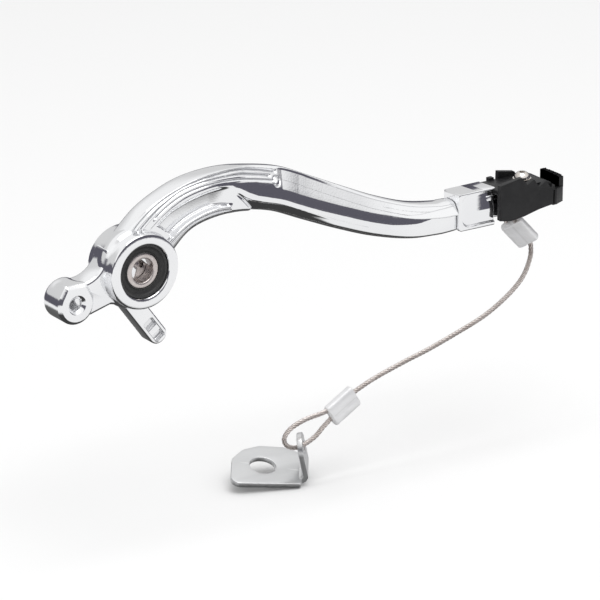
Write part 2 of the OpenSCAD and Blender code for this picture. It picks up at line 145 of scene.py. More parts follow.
def makePiece(name, parts, material, body, nodes=(), crease=38):
    # closed shells become one mesh, each with its faces outwards
    points, quads, caps, start = [], [], [], 0
    for p, q, c in parts:
        turn = -1 if volume(p, q, c) < 0 else 1
        points.append(p)
        quads.append(q[:, ::turn] + start)
        caps += [cap[::turn] + start for cap in c]
        start += len(p)
    points, quads = np.vstack(points) * mm, np.vstack(quads)
    sizes = np.r_[np.full(len(quads), 4), [len(cap) for cap in caps]].astype(np.int32)
    corners = np.concatenate([quads.ravel()] + caps).astype(np.int32)
    mesh = bpy.data.meshes.new(name)
    mesh.vertices.add(len(points))
    mesh.vertices.foreach_set("co", points.astype(np.float32).ravel())
    mesh.loops.add(len(corners))
    mesh.loops.foreach_set("vertex_index", corners)
    mesh.polygons.add(len(sizes))
    mesh.polygons.foreach_set("loop_start", (np.cumsum(sizes) - sizes).astype(np.int32))
    mesh.update(calc_edges=True)
    mesh.validate()
    mesh.shade_smooth()
    mesh.set_sharp_from_angle(angle=math.radians(crease))
    mesh.materials.append(material)
    piece = bpy.data.objects.new(name, mesh)
    bpy.context.scene.collection.objects.link(piece)
    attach(piece, body)
    if nodes:
        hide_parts(*nodes)
    print("made", name, int(sizes.sum() - 2 * len(sizes)), "triangles")
    return piece


def revolve(profile, steps, centre=(0, 0, 0)):
    # a closed [radius, y] profile turned about an axis along Y
    p = np.asarray(profile, float)
    angle = np.linspace(0, 2 * np.pi, steps, endpoint=False)
    rows = np.stack([p[:, :1] * np.cos(angle), np.repeat(p[:, 1:], steps, axis=1),
                     p[:, :1] * np.sin(angle)], axis=-1)
    return shell(rows + np.asarray(centre, float), ring=True)


def roundedLine(points, radii, arc=6):
    # corners of a flat outline replaced by circle arcs of their own radius, each a weighted quadratic
    p = np.asarray(points, float)
    before, after = np.roll(p, 1, axis=0), np.roll(p, -1, axis=0)
    r = np.broadcast_to(np.asarray(radii, float), (len(p),))[:, None]
    toBefore, toAfter = unit(before - p), unit(after - p)
    corner = np.arccos(np.clip((toBefore * toAfter).sum(axis=1, keepdims=True), -1, 1))
    # an arc takes up at most about half of the shorter side
    shorter = np.minimum(np.linalg.norm(before - p, axis=1), np.linalg.norm(after - p, axis=1))
    reach = np.minimum(r / np.maximum(np.tan(corner / 2), 1e-3), 0.49 * shorter[:, None])
    t = np.linspace(0, 1, arc)[None, :, None]
    a, b, c = (p + toBefore * reach)[:, None], p[:, None], (p + toAfter * reach)[:, None]
    w = np.sin(corner / 2)[:, None]
    over = a * (1 - t) ** 2 + 2 * w * b * t * (1 - t) + c * t ** 2
    under = (1 - t) ** 2 + 2 * w * t * (1 - t) + t ** 2
    return (over / under).reshape(-1, 2)


def inset(line, amount):
    # each point of a closed outline moved inwards, so far that both its sides move by the amount
    line = np.asarray(line, float)
    ahead = unit(np.roll(line, -1, axis=0) - line)
    behind = np.roll(ahead, 1, axis=0)
    both = unit(ahead + behind)
    stretch = 1 / np.maximum(np.sum(both * ahead, axis=1), 0.4)
    normal = np.stack([-both[:, 1], both[:, 0]], axis=1) * stretch[:, None]
    area = 0.5 * np.sum(line[:, 0] * np.roll(line[:, 1], -1) - np.roll(line[:, 0], -1) * line[:, 1])
    return line + normal * amount * np.sign(area)


def slabRows(line, profile):
    # an outline carried through [inset, depth] steps of a profile
    rows = []
    for amount, depth in profile:
        flat = inset(line, amount)
        rows.append(np.stack([flat[:, 0], np.full(len(flat), float(depth)), flat[:, 1]], axis=1))
    return np.array(rows)


def edgeProfile(low, high, radius, steps=5):
    # a slab's side with both of its edges rounded; its flat faces start 1.6 radii in
    t = np.linspace(0, np.pi / 2, steps)
    first = np.stack([radius * (1 - np.sin(t)), low + radius * (1 - np.cos(t))], axis=1)
    return np.vstack([[[radius * 1.6, low]], first, (first * [1, -1] + [0, low + high])[::-1],
                      [[radius * 1.6, high]]])


def rings(radii, heights, origin=(0, 0, 0), axes=((1, 0, 0), (0, 0, 1), (0, 1, 0))):
    # closed rings of a radius over even angles, at their heights along the third axis
    radius, height = np.broadcast_arrays(radii, heights)
    angle = np.linspace(0, 2 * np.pi, radius.shape[1], endpoint=False)[None, :, None]
    e = np.asarray(axes, float)
    return (np.asarray(origin, float) + radius[..., None] * (np.cos(angle) * e[0] + np.sin(angle) * e[1])
            + height[..., None] * e[2])


def polar(outline, centre, count):
    # how far a closed outline lies from a point inside it, over even angles
    d = np.asarray(outline, float) - centre
    step = np.roll(d, -1, axis=0) - d
    dense = np.vstack([d + step * t for t in np.linspace(0, 1, 24, endpoint=False)])
    angle = np.arctan2(dense[:, 1], dense[:, 0])
    at = np.linspace(0, 2 * np.pi, count, endpoint=False)
    return np.interp(at, angle, np.hypot(*dense.T), period=2 * np.pi)


def holed(outer, hole, low, high, edge, fill=2):
    # a ring between a hole's radius and an outer radius, its four edges rounded
    t = np.linspace(0, np.pi / 2, 5)
    away, rise = edge * (1 - np.sin(t)), edge * (1 - np.cos(t))
    across = np.linspace(0, 1, fill + 2)[1:-1]
    inner, out = hole + edge, outer - edge
    heights = np.r_[low + rise, (high - rise)[::-1], np.full(fill, high), high - rise,
                    (low + rise)[::-1], np.full(fill, low)]
    radii = ([hole + a for a in away] + [hole + a for a in away[::-1]]
             + [inner + (out - inner) * s for s in across] + [outer - a for a in away]
             + [outer - a for a in away[::-1]] + [out + (inner - out) * s for s in across])
    count = len(np.atleast_1d(outer))
    return np.array([np.broadcast_to(r, (count,)) for r in radii]), heights[:, None]


def addNode(tree, kind, **settings):
    node = tree.nodes.new(kind)
    for key, value in settings.items():
        setattr(node, key, value)
    return node


def link(source, target):
    target.id_data.links.new(source, target)


def newGroup(name, inputs, outputs):
    # inputs as (name, default), outputs as names; all plain numbers
    tree = bpy.data.node_groups.new(name, "ShaderNodeTree")
    for label, value in inputs:
        socket = tree.interface.new_socket(label, in_out="INPUT", socket_type="NodeSocketFloat")
        socket.default_value = value
    for label in outputs:
        tree.interface.new_socket(label, in_out="OUTPUT", socket_type="NodeSocketFloat")
    return tree, addNode(tree, "NodeGroupInput"), addNode(tree, "NodeGroupOutput")


def mapped(tree, source, low, high, outLow=0.0, outHigh=1.0):
    node = addNode(tree, "ShaderNodeMapRange", interpolation_type="SMOOTHSTEP")
    for slot, value in (("From Min", low), ("From Max", high), ("To Min", outLow), ("To Max", outHigh)):
        node.inputs[slot].default_value = value
    link(source, node.inputs["Value"])
    return node.outputs["Result"]


def buildEdgeGroup():
    # Edge is 1 on sharp outer edges, Hollow is 1 in inner corners
    tree, start, end = newGroup("edgeAndHollow", [("Softness", 0.04)], ["Edge", "Hollow"])
    shape = addNode(tree, "ShaderNodeNewGeometry").outputs["Pointiness"]
    for label, sign in (("Edge", 1), ("Hollow", -1)):
        away = addNode(tree, "ShaderNodeMath", operation="MULTIPLY_ADD")
        away.inputs[1].default_value, away.inputs[2].default_value = sign, -0.5 * sign
        link(shape, away.inputs[0])
        share = addNode(tree, "ShaderNodeMath", operation="DIVIDE", use_clamp=True)
        link(away.outputs[0], share.inputs[0])
        link(start.outputs["Softness"], share.inputs[1])
        link(share.outputs[0], end.inputs[label])
    return tree


def buildGrainGroup():
    # Fine is a close noise, Broad a slow one, both on Object coordinates stretched along one axis
    inputs = [("FineScale", 2500.0), ("BroadScale", 60.0), ("Stretch", 1.0)]
    tree, start, end = newGroup("metalGrain", inputs, ["Fine", "Broad"])
    place = addNode(tree, "ShaderNodeTexCoord").outputs["Object"]
    split = addNode(tree, "ShaderNodeSeparateXYZ")
    link(place, split.inputs[0])
    squeeze = addNode(tree, "ShaderNodeMath", operation="DIVIDE")
    link(split.outputs["X"], squeeze.inputs[0])
    link(start.outputs["Stretch"], squeeze.inputs[1])
    join = addNode(tree, "ShaderNodeCombineXYZ")
    link(squeeze.outputs[0], join.inputs["X"])
    link(split.outputs["Y"], join.inputs["Y"])
    link(split.outputs["Z"], join.inputs["Z"])
    for label, scale, detail in (("Fine", "FineScale", 3), ("Broad", "BroadScale", 2)):
        noise = addNode(tree, "ShaderNodeTexNoise")
        noise.inputs["Detail"].default_value = detail
        link(join.outputs[0], noise.inputs["Vector"])
        link(start.outputs[scale], noise.inputs["Scale"])
        link(noise.outputs["Fac"], end.inputs[label])
    return tree


edgeGroup, grainGroup = buildEdgeGroup(), buildGrainGroup()


def mixColors(tree, fac, first, second):
    mix = addNode(tree, "ShaderNodeMix", data_type="RGBA")
    link(fac, mix.inputs[0])
    for slot, value in ((6, first), (7, second)):
        if isinstance(value, tuple):
            mix.inputs[slot].default_value = (*value, 1)
        else:
            link(value, mix.inputs[slot])
    return mix.outputs[2]


def chooseShader(tree, fac, first, second):
    # the second shader where the factor is 1
    mix = addNode(tree, "ShaderNodeMixShader")
    link(fac, mix.inputs["Fac"])
    link(first, mix.inputs[1])
    link(second, mix.inputs[2])
    return mix.outputs[0]


# What a finish has unless it says otherwise: grain and pointiness count between two limits
plainFinish = {"metal": 1.0, "mirrored": 0.3, "specular": 0.5, "softness": 0.05, "Stretch": 1.0,
               "fineLimits": (0.3, 0.7), "broadLimits": (0.35, 0.65), "hollowLimits": (0.1, 1.0),
               "edgeLimits": (0.3, 1.0)}


def finishMaterial(name, own):
    # base colour shifts with broad grain and edges, and hollows darken with dirt and painted shade;
    # roughness and bump with fine grain
    f = {**plainFinish, **own}
    mat = bpy.data.materials.new(name)
    mat.use_nodes = True
    tree = mat.node_tree
    shader = tree.nodes["Principled BSDF"]
    grain = addNode(tree, "ShaderNodeGroup", node_tree=grainGroup)
    for label in ("FineScale", "BroadScale", "Stretch"):
        grain.inputs[label].default_value = f[label]
    edges = addNode(tree, "ShaderNodeGroup", node_tree=edgeGroup)
    edges.inputs["Softness"].default_value = f["softness"]
    broad = mapped(tree, grain.outputs["Broad"], *f["broadLimits"])
    hollow = mapped(tree, edges.outputs["Hollow"], *f["hollowLimits"], 0, f["hollow"])
    edge = mapped(tree, edges.outputs["Edge"], *f["edgeLimits"], 0, f["edge"])
    color = mixColors(tree, broad, f["color"], f["shade"])
    # painted shade: inner corners and grooves go towards the dark hollow tone, for dirt and for the shade
    # that falls there
    color = mixColors(tree, hollow, color, f["dirtAndShade"])
    color = mixColors(tree, edge, color, f["worn"])
    link(color, shader.inputs["Base Color"])
    roughness = mapped(tree, grain.outputs["Fine"], *f["fineLimits"], *f["rough"])
    link(roughness, shader.inputs["Roughness"])
    shader.inputs["Metallic"].default_value = f["metal"]
    if f["metal"] == 1.0:
        # seen in another mirror, the metal counts as pale and soft, so that corners don't go black
        path = addNode(tree, "ShaderNodeLightPath")
        metallic = mapped(tree, path.outputs["Is Glossy Ray"], 0.0, 1.0, 1.0, f["mirrored"])
        link(metallic, shader.inputs["Metallic"])
    shader.inputs["Specular IOR Level"].default_value = f["specular"]
    bump = addNode(tree, "ShaderNodeBump")
    bump.inputs["Strength"].default_value = f["bump"]
    bump.inputs["Distance"].default_value = f["bumpDepth"] * mm
    link(grain.outputs["Fine"], bump.inputs["Height"])
    link(bump.outputs["Normal"], shader.inputs["Normal"])
    return mat


finishes = {
    # painted shade: the forging's hollows go towards dark grey, so that its grooves read as dark lines
    "polishedForging": {
        "color": (0.93, 0.935, 0.945), "shade": (0.9, 0.905, 0.92), "dirtAndShade": (0.3, 0.3, 0.32),
        "worn": (0.97, 0.97, 0.98), "hollow": 0.4, "edge": 0.3, "rough": (0.05, 0.11),
        "FineScale": 1500.0, "BroadScale": 30.0, "bump": 0.35, "bumpDepth": 0.05},
    "groundSteel": {
        "color": (0.62, 0.56, 0.54), "shade": (0.55, 0.49, 0.47), "dirtAndShade": (0.12, 0.1, 0.09),
        "worn": (0.85, 0.8, 0.78), "hollow": 0.7, "edge": 0.5, "rough": (0.22, 0.36),
        "FineScale": 2600.0, "BroadScale": 160.0, "bump": 0.12, "bumpDepth": 0.04},
    "bearingSteel": {
        "color": (0.5, 0.5, 0.52), "shade": (0.4, 0.4, 0.42), "dirtAndShade": (0.05, 0.045, 0.04),
        "worn": (0.7, 0.7, 0.72), "hollow": 0.6, "edge": 0.3, "rough": (0.2, 0.34),
        "FineScale": 2600.0, "BroadScale": 200.0, "bump": 0.1, "bumpDepth": 0.03},
    "sealRubber": {
        "color": (0.022, 0.022, 0.023), "shade": (0.032, 0.031, 0.031), "dirtAndShade": (0.008, 0.008, 0.008),
        "worn": (0.07, 0.07, 0.07), "hollow": 0.6, "edge": 0.4, "rough": (0.42, 0.6), "metal": 0.0,
        "FineScale": 3000.0, "BroadScale": 250.0, "bump": 0.25, "bumpDepth": 0.06},
    "satinBlack": {
        "color": (0.009, 0.009, 0.01), "shade": (0.014, 0.014, 0.015), "dirtAndShade": (0.004, 0.004, 0.004),
        "worn": (0.1, 0.1, 0.105), "hollow": 0.7, "edge": 0.4, "rough": (0.3, 0.45), "metal": 0.0,
        "specular": 0.3, "softness": 0.3,
        "FineScale": 1700.0, "BroadScale": 170.0, "bump": 0.3, "bumpDepth": 0.09},
    "zincSteel": {
        "color": (0.78, 0.75, 0.72), "shade": (0.66, 0.62, 0.58), "dirtAndShade": (0.12, 0.09, 0.07),
        "worn": (0.95, 0.93, 0.9), "hollow": 0.7, "edge": 0.4, "rough": (0.12, 0.24),
        "FineScale": 2200.0, "BroadScale": 300.0, "bump": 0.08, "bumpDepth": 0.03},
    "strandWire": {
        "color": (0.66, 0.58, 0.55), "shade": (0.5, 0.42, 0.38), "dirtAndShade": (0.1, 0.08, 0.07),
        "worn": (0.9, 0.88, 0.86), "hollow": 0.8, "edge": 0.4, "rough": (0.2, 0.36),
        "FineScale": 3500.0, "BroadScale": 120.0, "bump": 0.1, "bumpDepth": 0.02},
    "pressedAluminium": {
        "color": (0.82, 0.82, 0.83), "shade": (0.76, 0.76, 0.77), "dirtAndShade": (0.2, 0.19, 0.18),
        "worn": (0.95, 0.95, 0.95), "hollow": 0.7, "edge": 0.4, "rough": (0.3, 0.46), "metal": 0.3,
        "FineScale": 1900.0, "BroadScale": 220.0, "Stretch": 3.0, "bump": 0.2, "bumpDepth": 0.05},
    "brushedSheet": {
        "color": (0.68, 0.685, 0.69), "shade": (0.6, 0.605, 0.61), "dirtAndShade": (0.1, 0.1, 0.1),
        "worn": (0.9, 0.9, 0.9), "hollow": 0.6, "edge": 0.5, "rough": (0.28, 0.42),
        "FineScale": 2600.0, "BroadScale": 90.0, "Stretch": 8.0, "bump": 0.2, "bumpDepth": 0.05},
}
finish = {name: finishMaterial(name, values) for name, values in finishes.items()}
print("finishes made")


def forgedPiece(name, parts, crease=30):
    # the forging's pieces share one finish, one body and one node
    return makePiece(name, parts, finish["polishedForging"], "pedal",
                     ["pedal_arm"], crease)


# Safety cable: its route repeats the one in the CAD source

ropeForm = {"diameter": 2.1, "strands": 6, "pitch": 11.0, "sides": 7, "spacing": 0.75, "swell": 1.04,
            "route": [[198, 0.8, -27.3], [195.1, 0.8, -24.2], [191.2, 1.4, -20], [189, 4.6, -14.6],
                      [188, 5.1, -10.4], [188, 2.5, -9.5], [188, -2.5, -9.5], [188, -5.1, -10.4],
                      [189.2, -5, -14], [191.9, -1.8, -17.8], [196.5, -0.8, -22.8], [200, -0.8, -26.6],
                      [201.7, -0.2, -31], [201.6, 0, -36.5], [198.4, 0, -43.7], [192.7, 0, -49.4],
                      [184, 0, -55], [175, 0, -59.2], [162, 0, -63.4], [148, 0, -67.5], [135, 0, -70.6],
                      [120, 0, -74.7], [109.5, 0, -78.7], [101, 0, -82.6], [94, 0, -84.6],
                      [84.4, 0, -85.8], [77.3, 0, -88.2], [74, 0, -91.6], [74.7, 0, -95],
                      [78.4, 0, -97.2], [83, 0, -97.2], [89.5, 0, -94.6], [93.6, 0, -91.2],
                      [98, 0, -88], [101.5, 0, -86.2], [107, 0, -83.4]]}


def frameAlong(line):
    # tangent, and two side vectors carried from point to point without twist
    along = unit(np.gradient(line, axis=0))
    side = np.empty_like(along)
    s = unit(np.cross([0.0, 1.0, 0.0], along[0]))
    for i, t in enumerate(along):
        s = s - (s @ t) * t
        s = s / np.linalg.norm(s)
        side[i] = s
    return along, side, np.cross(along, side)


def tube(line, radius, around, first, second):
    # a ring about each point of the line: point + radius (first cos a + second sin a)
    c, s = np.cos(around)[None, :, None], np.sin(around)[None, :, None]
    return shell(line[:, None] + radius * (c * first[:, None] + s * second[:, None]))


def buildRope(r):
    # each strand is a tube whose own centre turns round the route, and a straight one is the core
    route = catmullRom(r["route"], 24)
    length = np.linalg.norm(np.diff(route, axis=0), axis=1).sum()
    line = evenly(route, int(length / r["spacing"]))
    along, side, third = frameAlong(line)
    at = np.linspace(0, length, len(line))
    # three strands lie across the rope
    wire = r["diameter"] / 6
    around = np.linspace(0, 2 * np.pi, r["sides"], endpoint=False)
    parts = []
    for k in range(r["strands"]):
        turn = 2 * np.pi * (at / r["pitch"] + k / r["strands"])
        out = side * np.cos(turn)[:, None] + third * np.sin(turn)[:, None]
        centre = line + out * (r["diameter"] / 2 - wire)
        parts.append(tube(centre, wire * r["swell"], around, out, np.cross(along, out)))
    parts.append(tube(line, wire, around, side, third))
    rope = makePiece("safetyRope", parts, finish["strandWire"], "pedal", ["safety_cable"], 60)
    return rope, line, length


rope, ropeLine, ropeLength = buildRope(ropeForm)


# Forged arm

armForm = {
    # the middle line as X, Z and half the arm's height
    "knots": [[1.5, 3.5, 14.1], [10.4, 12.8, 13.2], [19.6, 19.3, 11.4], [28.9, 22.6, 10.7],
              [41.5, 24, 10.07], [54, 23.1, 9.5], [69.5, 19.6, 9.4], [85.5, 12.6, 9.2], [101, 5.7, 8.9],
              [117.5, -1.1, 8.4], [134, -6.2, 7.7], [149, -8.5, 7.1], [156, -8.8, 7.0], [159, -8.8, 6.8]],
    "knotSteps": 60, "fineCount": 2400,
    # stations per millimetre, close where lines begin and end
    "density": ([0, 16, 20, 40, 44, 50, 54, 62, 64, 73, 76, 154, 160],
                [4, 4, 2, 2, 4, 4, 2, 2, 5, 5, 2, 2, 3]),
    "front": 5.75, "top": -0.8, "topRise": 0.3, "lowRise": 0.5, "capPoints": 12,
    "backPoints": 30, "backTop": 0.5, "backLow": 0.9, "aroundCount": 6, "grooveSoft": 1.5,
    # lines along the arm, from its crown down: places along X, heights from the middle line, places
    # and degrees of the face's tilt, and how many columns lie between one line and the next
    "lines": [
        {"name": "crown", "x": [8, 20, 31, 44, 56, 66, 80, 159],
         "h": [12.0, 10.8, 10.0, 9.3, 8.5, 8.3, 8.2, 5.6],
         "tilt": ([31, 44, 56, 66], [8, 14, 30, 34]), "count": 3},
        {"name": "first", "x": [8, 16, 23, 31, 44, 56, 66, 80, 159],
         "h": [11.6, 10.7, 9.6, 9.35, 8.8, 7.9, 7.3, 7.2, 4.8],
         "tilt": ([31, 44, 56], [3, 10, 33]), "count": 12, "around": 1.0},
        {"name": "second", "x": [8, 16, 21, 25, 31, 37, 52, 62, 66, 80, 159],
         "h": [9.3, 8.96, 8.64, 8.4, 8.1, 7.7, 6.5, 5.75, 5.5, 5.2, 3.2],
         "tilt": ([31, 37, 52], [2, 6, 33]), "count": 14, "around": 0.8},
        {"name": "third", "x": [8, 21, 30, 37, 52, 60, 66, 80, 159],
         "h": [7.5, 6.9, 6.4, 6.0, 4.7, 4.3, 4.2, 3.8, 2.0],
         "tilt": ([30, 37, 52], [2, 6, 33]), "count": 12, "around": 0.65},
        {"name": "slateHigh",
         "x": [8, 21, 37, 44, 49, 57, 65, 68, 70, 78, 88, 101, 125, 138, 150, 159],
         "h": [5.4, 4.8, 4.4, 3.9, 3.4, 3.2, 2.8, 1.8, 1.0, 0.7, 0.9, 1.3, 2.0, 3.2, 4.6, 5.0],
         "tilt": ([21, 37, 44, 49, 57, 65], [2, 4, 14, 22, 24, 25]),
         "count": 26, "around": 0.35, "above": 7},
        {"name": "pocketHigh",
         "x": [8, 17, 21, 27, 40, 45, 48.5, 53.3, 58, 65, 78, 90, 101, 125, 138, 150, 159],
         "h": [4.1, 4.1, 3.4, 3.0, 3.1, 2.7, 1.7, -0.5, -1.9, -2.6, -2.9, -2.7, -2.2, -1.4, 0.0, 2.4, 3.3],
         "tilt": ([40, 45, 48.5], [2, 8, 10]), "count": 14, "around": 0.4, "below": -8},
        {"name": "pocketLow", "x": [8, 25, 31, 38, 43, 46, 52, 60, 78, 101, 159],
         "h": [-4.6, -4.6, -4.3, -4.3, -4.7, -4.6, -3.6, -3.8, -4.3, -4.2, -1.5],
         "tilt": ([101, 159], [0, 2]), "count": 18, "around": 0.6},
        {"name": "rib", "x": [8, 27, 36, 41, 46, 52, 159],
         "h": [-5.8, -5.6, -5.45, -5.7, -6.1, -6.2, -4.0],
         "tilt": ([46, 52, 159], [0, -1, -4]), "count": 9, "around": 0.75},
        {"name": "low", "x": [8, 28, 46, 60, 101, 125, 159],
         "h": [-8.6, -7.9, -7.6, -7.6, -6.9, -6.0, -5.2],
         "tilt": ([46, 60, 101], [-22, -14, -13]), "count": 6}],
    "lower": ([0, 44, 56, 90, 159], [-1.8, -2.2, -3.2, -2.4, -2.0]),
    "pocket": {"deep": 1.7, "wall": 0.85, "start": 19.0, "soft": 0.4, "lean": 0.16, "end": (34, 47)},
    "rib": {"high": 0.75, "half": 0.85, "end": 44.2, "soft": 0.6,
            "gutter": 0.8, "gutterAt": 1.25, "gutterWide": 0.45},
    "grooves": [{"line": "first", "deep": 1.0, "half": 0.9, "from": 4, "to": 67},
                {"line": "second", "deep": 0.9, "half": 0.7, "from": 4, "to": 64},
                {"line": "third", "deep": 0.7, "half": 0.55, "from": 12, "to": 66},
                {"line": "pocketLow", "deep": 0.6, "half": 0.5, "from": 8, "to": 43}],
    "bevel": {"x": [45, 48.5, 51.6, 55, 60, 64, 78, 98], "h": [0, -0.7, -2.5, -3.7, -4.4, -4.7, -4.9, -5.4],
              "deep": ([45, 52, 58, 72, 84, 98], [1.2, 2.6, 2.9, 2.5, 1.4, 0.0]), "fall": 4.2,
              "most": 1.2, "power": 0.7, "from": 40, "start": 45.2, "long": 2.2, "lean": 1.28},
    "pip": {"centre": (68.2, 24.0), "radius": 1.5, "high": 0.6,
            "moat": 0.4, "moatAt": 1.2, "moatWide": 0.16},
}


def armColumns(a, x):
    # heights and tilts of every column at every station: straight blends between the lines, where a
    # line with a distance around it counts as three
    heights, tilts, counts = [], [], []
    for line in a["lines"]:
        h, tilt = np.interp(x, line["x"], line["h"]), np.interp(x, *line["tilt"])
        near = line.get("around", 0)
        if near:
            heights += [h + near, h, h - near]
            tilts += [tilt + line.get("above", 0), tilt, tilt + line.get("below", 0)]
            counts += [a["aroundCount"], a["aroundCount"], line["count"]]
        else:
            heights.append(h)
            tilts.append(tilt)
            counts.append(line["count"])
    counts = counts[:-1]
    at = np.concatenate([k + np.arange(c) / c for k, c in enumerate(counts)] + [[len(counts)]])
    low = np.minimum(at.astype(int), len(counts) - 1)
    share = (at - low)[None, :]
    heights, tilts = np.array(heights).T, np.array(tilts).T
    return (heights[:, low] * (1 - share) + heights[:, low + 1] * share,
            tilts[:, low] * (1 - share) + tilts[:, low + 1] * share)


def armRelief(x, h, px, pz, a):
    # pocket, rib, grooves, bevel and pip as one depth to add, from masks in x and h
    line = {g["name"]: np.interp(x, g["x"], g["h"]) for g in a["lines"]}
    p = a["pocket"]
    low, high, wall = line["pocketLow"], line["pocketHigh"], p["wall"]
    inside = (smooth(h, low - wall, low + wall) * (1 - smooth(h, high - wall, high + wall))
              * smooth(np.hypot(px, pz), p["start"] - p["soft"], p["start"] + p["soft"])
              * (1 - smooth(x, *p["end"])))
    depth = -(p["deep"] - p["lean"] * h) * inside
    r = a["rib"]
    offset = h - line["rib"]
    end = 1 - smooth(x, r["end"] - r["soft"], r["end"] + r["soft"])
    depth = depth + r["high"] * np.sqrt(np.clip(1 - (offset / r["half"]) ** 2, 0, 1)) * end
    depth = depth - r["gutter"] * np.exp(-((offset + r["gutterAt"]) / r["gutterWide"]) ** 2) * end
    for g in a["grooves"]:
        v = np.clip(1 - np.abs(h - line[g["line"]]) / g["half"], 0, 1)
        depth = depth - g["deep"] * v * band(x, g["from"], g["to"], a["grooveSoft"])
    b = a["bevel"]
    under = np.clip((np.interp(x, b["x"], b["h"]) - h) / b["fall"], 0, b["most"])
    ahead = np.clip((x - b["start"] + np.minimum(h, 0) * b["lean"]) / b["long"], 0, 1)
    depth = depth - np.interp(x, *b["deep"]) * under ** b["power"] * ahead * (x > b["from"])
    q = a["pip"]
    d = np.hypot(px - q["centre"][0], pz - q["centre"][1]) / q["radius"]
    dome = q["high"] * np.sqrt(np.clip(1 - d ** 2, 0, 1))
    return depth + dome - q["moat"] * np.exp(-((d - q["moatAt"]) / q["moatWide"]) ** 2)


def quadratic(a, b, c, count):
    # points between a and c on a curve that starts towards b; a, b and c hold one pair for each station
    t = np.linspace(0, 1, count)[None, :]
    return [p[:, None] * (1 - t) ** 2 + 2 * q[:, None] * t * (1 - t) + r[:, None] * t ** 2
            for p, q, r in zip(a, b, c)]


def buildArm(a):
    # the face's depth is the integral of its tilt down the section, plus relief; caps and back close it
    fine = evenly(catmullRom(a["knots"], a["knotSteps"]), a["fineCount"], 2)
    step = np.r_[0, np.linalg.norm(np.diff(fine[:, :2], axis=0), axis=1)]
    spread = np.cumsum(step * np.interp(fine[:, 0], *a["density"]))
    at = np.linspace(0, spread[-1], int(spread[-1]))
    s = np.stack([np.interp(at, spread, column) for column in fine.T], axis=1)
    along = unit(np.gradient(s[:, :2], s[:, 0], axis=0))
    up = np.stack([-along[:, 1], along[:, 0]], axis=1)
    x, half = s[:, :1], s[:, 2]
    h, tilt = armColumns(a, s[:, 0])
    slope = np.tan(np.radians(tilt))
    fall = np.cumsum(0.5 * (slope[:, 1:] + slope[:, :-1]) * np.diff(-h, axis=1), axis=1)
    w = np.hstack([np.zeros((len(s), 1)), fall])
    w = a["front"] + w - w.max(axis=1, keepdims=True)
    w = w + armRelief(x, h, x + up[:, :1] * h, s[:, 1:2] + up[:, 1:] * h, a)
    # the caps leave the face along its tilt and reach the crown and the underside
    top, low = np.full(len(s), a["top"]), np.interp(s[:, 0], *a["lower"])
    h0, w0, h1, w1 = h[:, 0], w[:, 0], h[:, -1], w[:, -1]
    rise = np.maximum(w0 - (half - h0) * slope[:, 0], top + a["topRise"])
    capTop = quadratic((half, top), (half, rise), (h0, w0), a["capPoints"])
    rise = np.maximum(w1 + (half + h1) * slope[:, -1], low + a["lowRise"])
    capLow = quadratic((h1, w1), (-half, rise), (-half, low), a["capPoints"])
    # the back is a superellipse, squarer on its upper half
    turn = np.linspace(0, np.pi, a["backPoints"] + 2)[None, 1:-1]
    power = np.where(np.cos(turn) > 0, a["backLow"], a["backTop"])
    backH = -half[:, None] * np.sign(np.cos(turn)) * np.abs(np.cos(turn)) ** power
    base = np.where(np.cos(turn) > 0, low[:, None], top[:, None])
    backW = base + (-a["front"] - base) * np.sin(turn) ** power
    heights = np.hstack([capTop[0][:, :-1], h, capLow[0][:, 1:], backH])
    depths = np.hstack([capTop[1][:, :-1], w, capLow[1][:, 1:], backW])
    rows = np.stack([x + up[:, :1] * heights, -depths, s[:, 1:2] + up[:, 1:] * heights], axis=-1)
    return forgedPiece("armForging", [shell(rows)], 36)


buildArm(armForm)


# Pivot hub: a turned ring with the seal seats and the bearing bore

hubForm = {"steps": 220, "profile": [
    [10.5, -5.6], [10.5, 5.6], [11.5, 5.6], [11.5, 9.4], [11.7, 9.8], [12.1, 10], [14.4, 10], [15, 9.8],
    [15.1, 9.3], [15.3, 8.4], [15.9, 5], [16.6, 2], [17.2, -0.6], [17.45, -1.6], [17.5, -2.6],
    [17.4, -3.4], [17.1, -4.2], [16.7, -4.9],
    [16.35, -5.5], [16.1, -6.2], [16, -7.0], [16, -9], [15.92, -9.45], [15.65, -9.8], [15.2, -10],
    [12.2, -10], [11.75, -9.85], [11.53, -9.5], [11.5, -9], [11.5, -5.6]]}
forgedPiece("pivotHub", [revolve(hubForm["profile"], hubForm["steps"])], 28)


# Pushrod eye: rings between a threaded bore and an outline with a flat top

eyeForm = {"centre": (-30.4, -9.0), "radius": 8.5, "flatBack": -4.8, "flatFront": 4.8, "flatTop": 8.5,
           "arc": (32, -212), "arcPoints": 60, "front": -7.0, "back": 6.0, "chamfer": 1.25, "bore": 2.6,
           "sink": 3.9, "sinkDeep": 1.3, "sinkEdge": 0.25, "sinkStep": 0.12, "backSink": 3.6,
           "backDeep": 0.9, "thread": 0.32, "pitch": 1.0, "threadRows": 110, "steps": 168,
           # the side's rings from back to front, each with an inset: how deep they lie from the
           # back, where along Y, how far past the chamfer, and how deep from the front
           "backEdge": [(1.6, 0), (1.1, 0.02), (0.4, 0.35), (0.08, 0.9), (0, 1.6)],
           "wall": [3.2, 2.0, 0.8, -0.5, -2.0, -3.4, -4.6], "flatFrom": (2.5, -4.5),
           "frontEdge": [(0, 0.5), (0.03, 0.1), (0.2, -0.15)], "rim": [(0, 0.14), (0.2, 0.02), (0.45, 0)]}


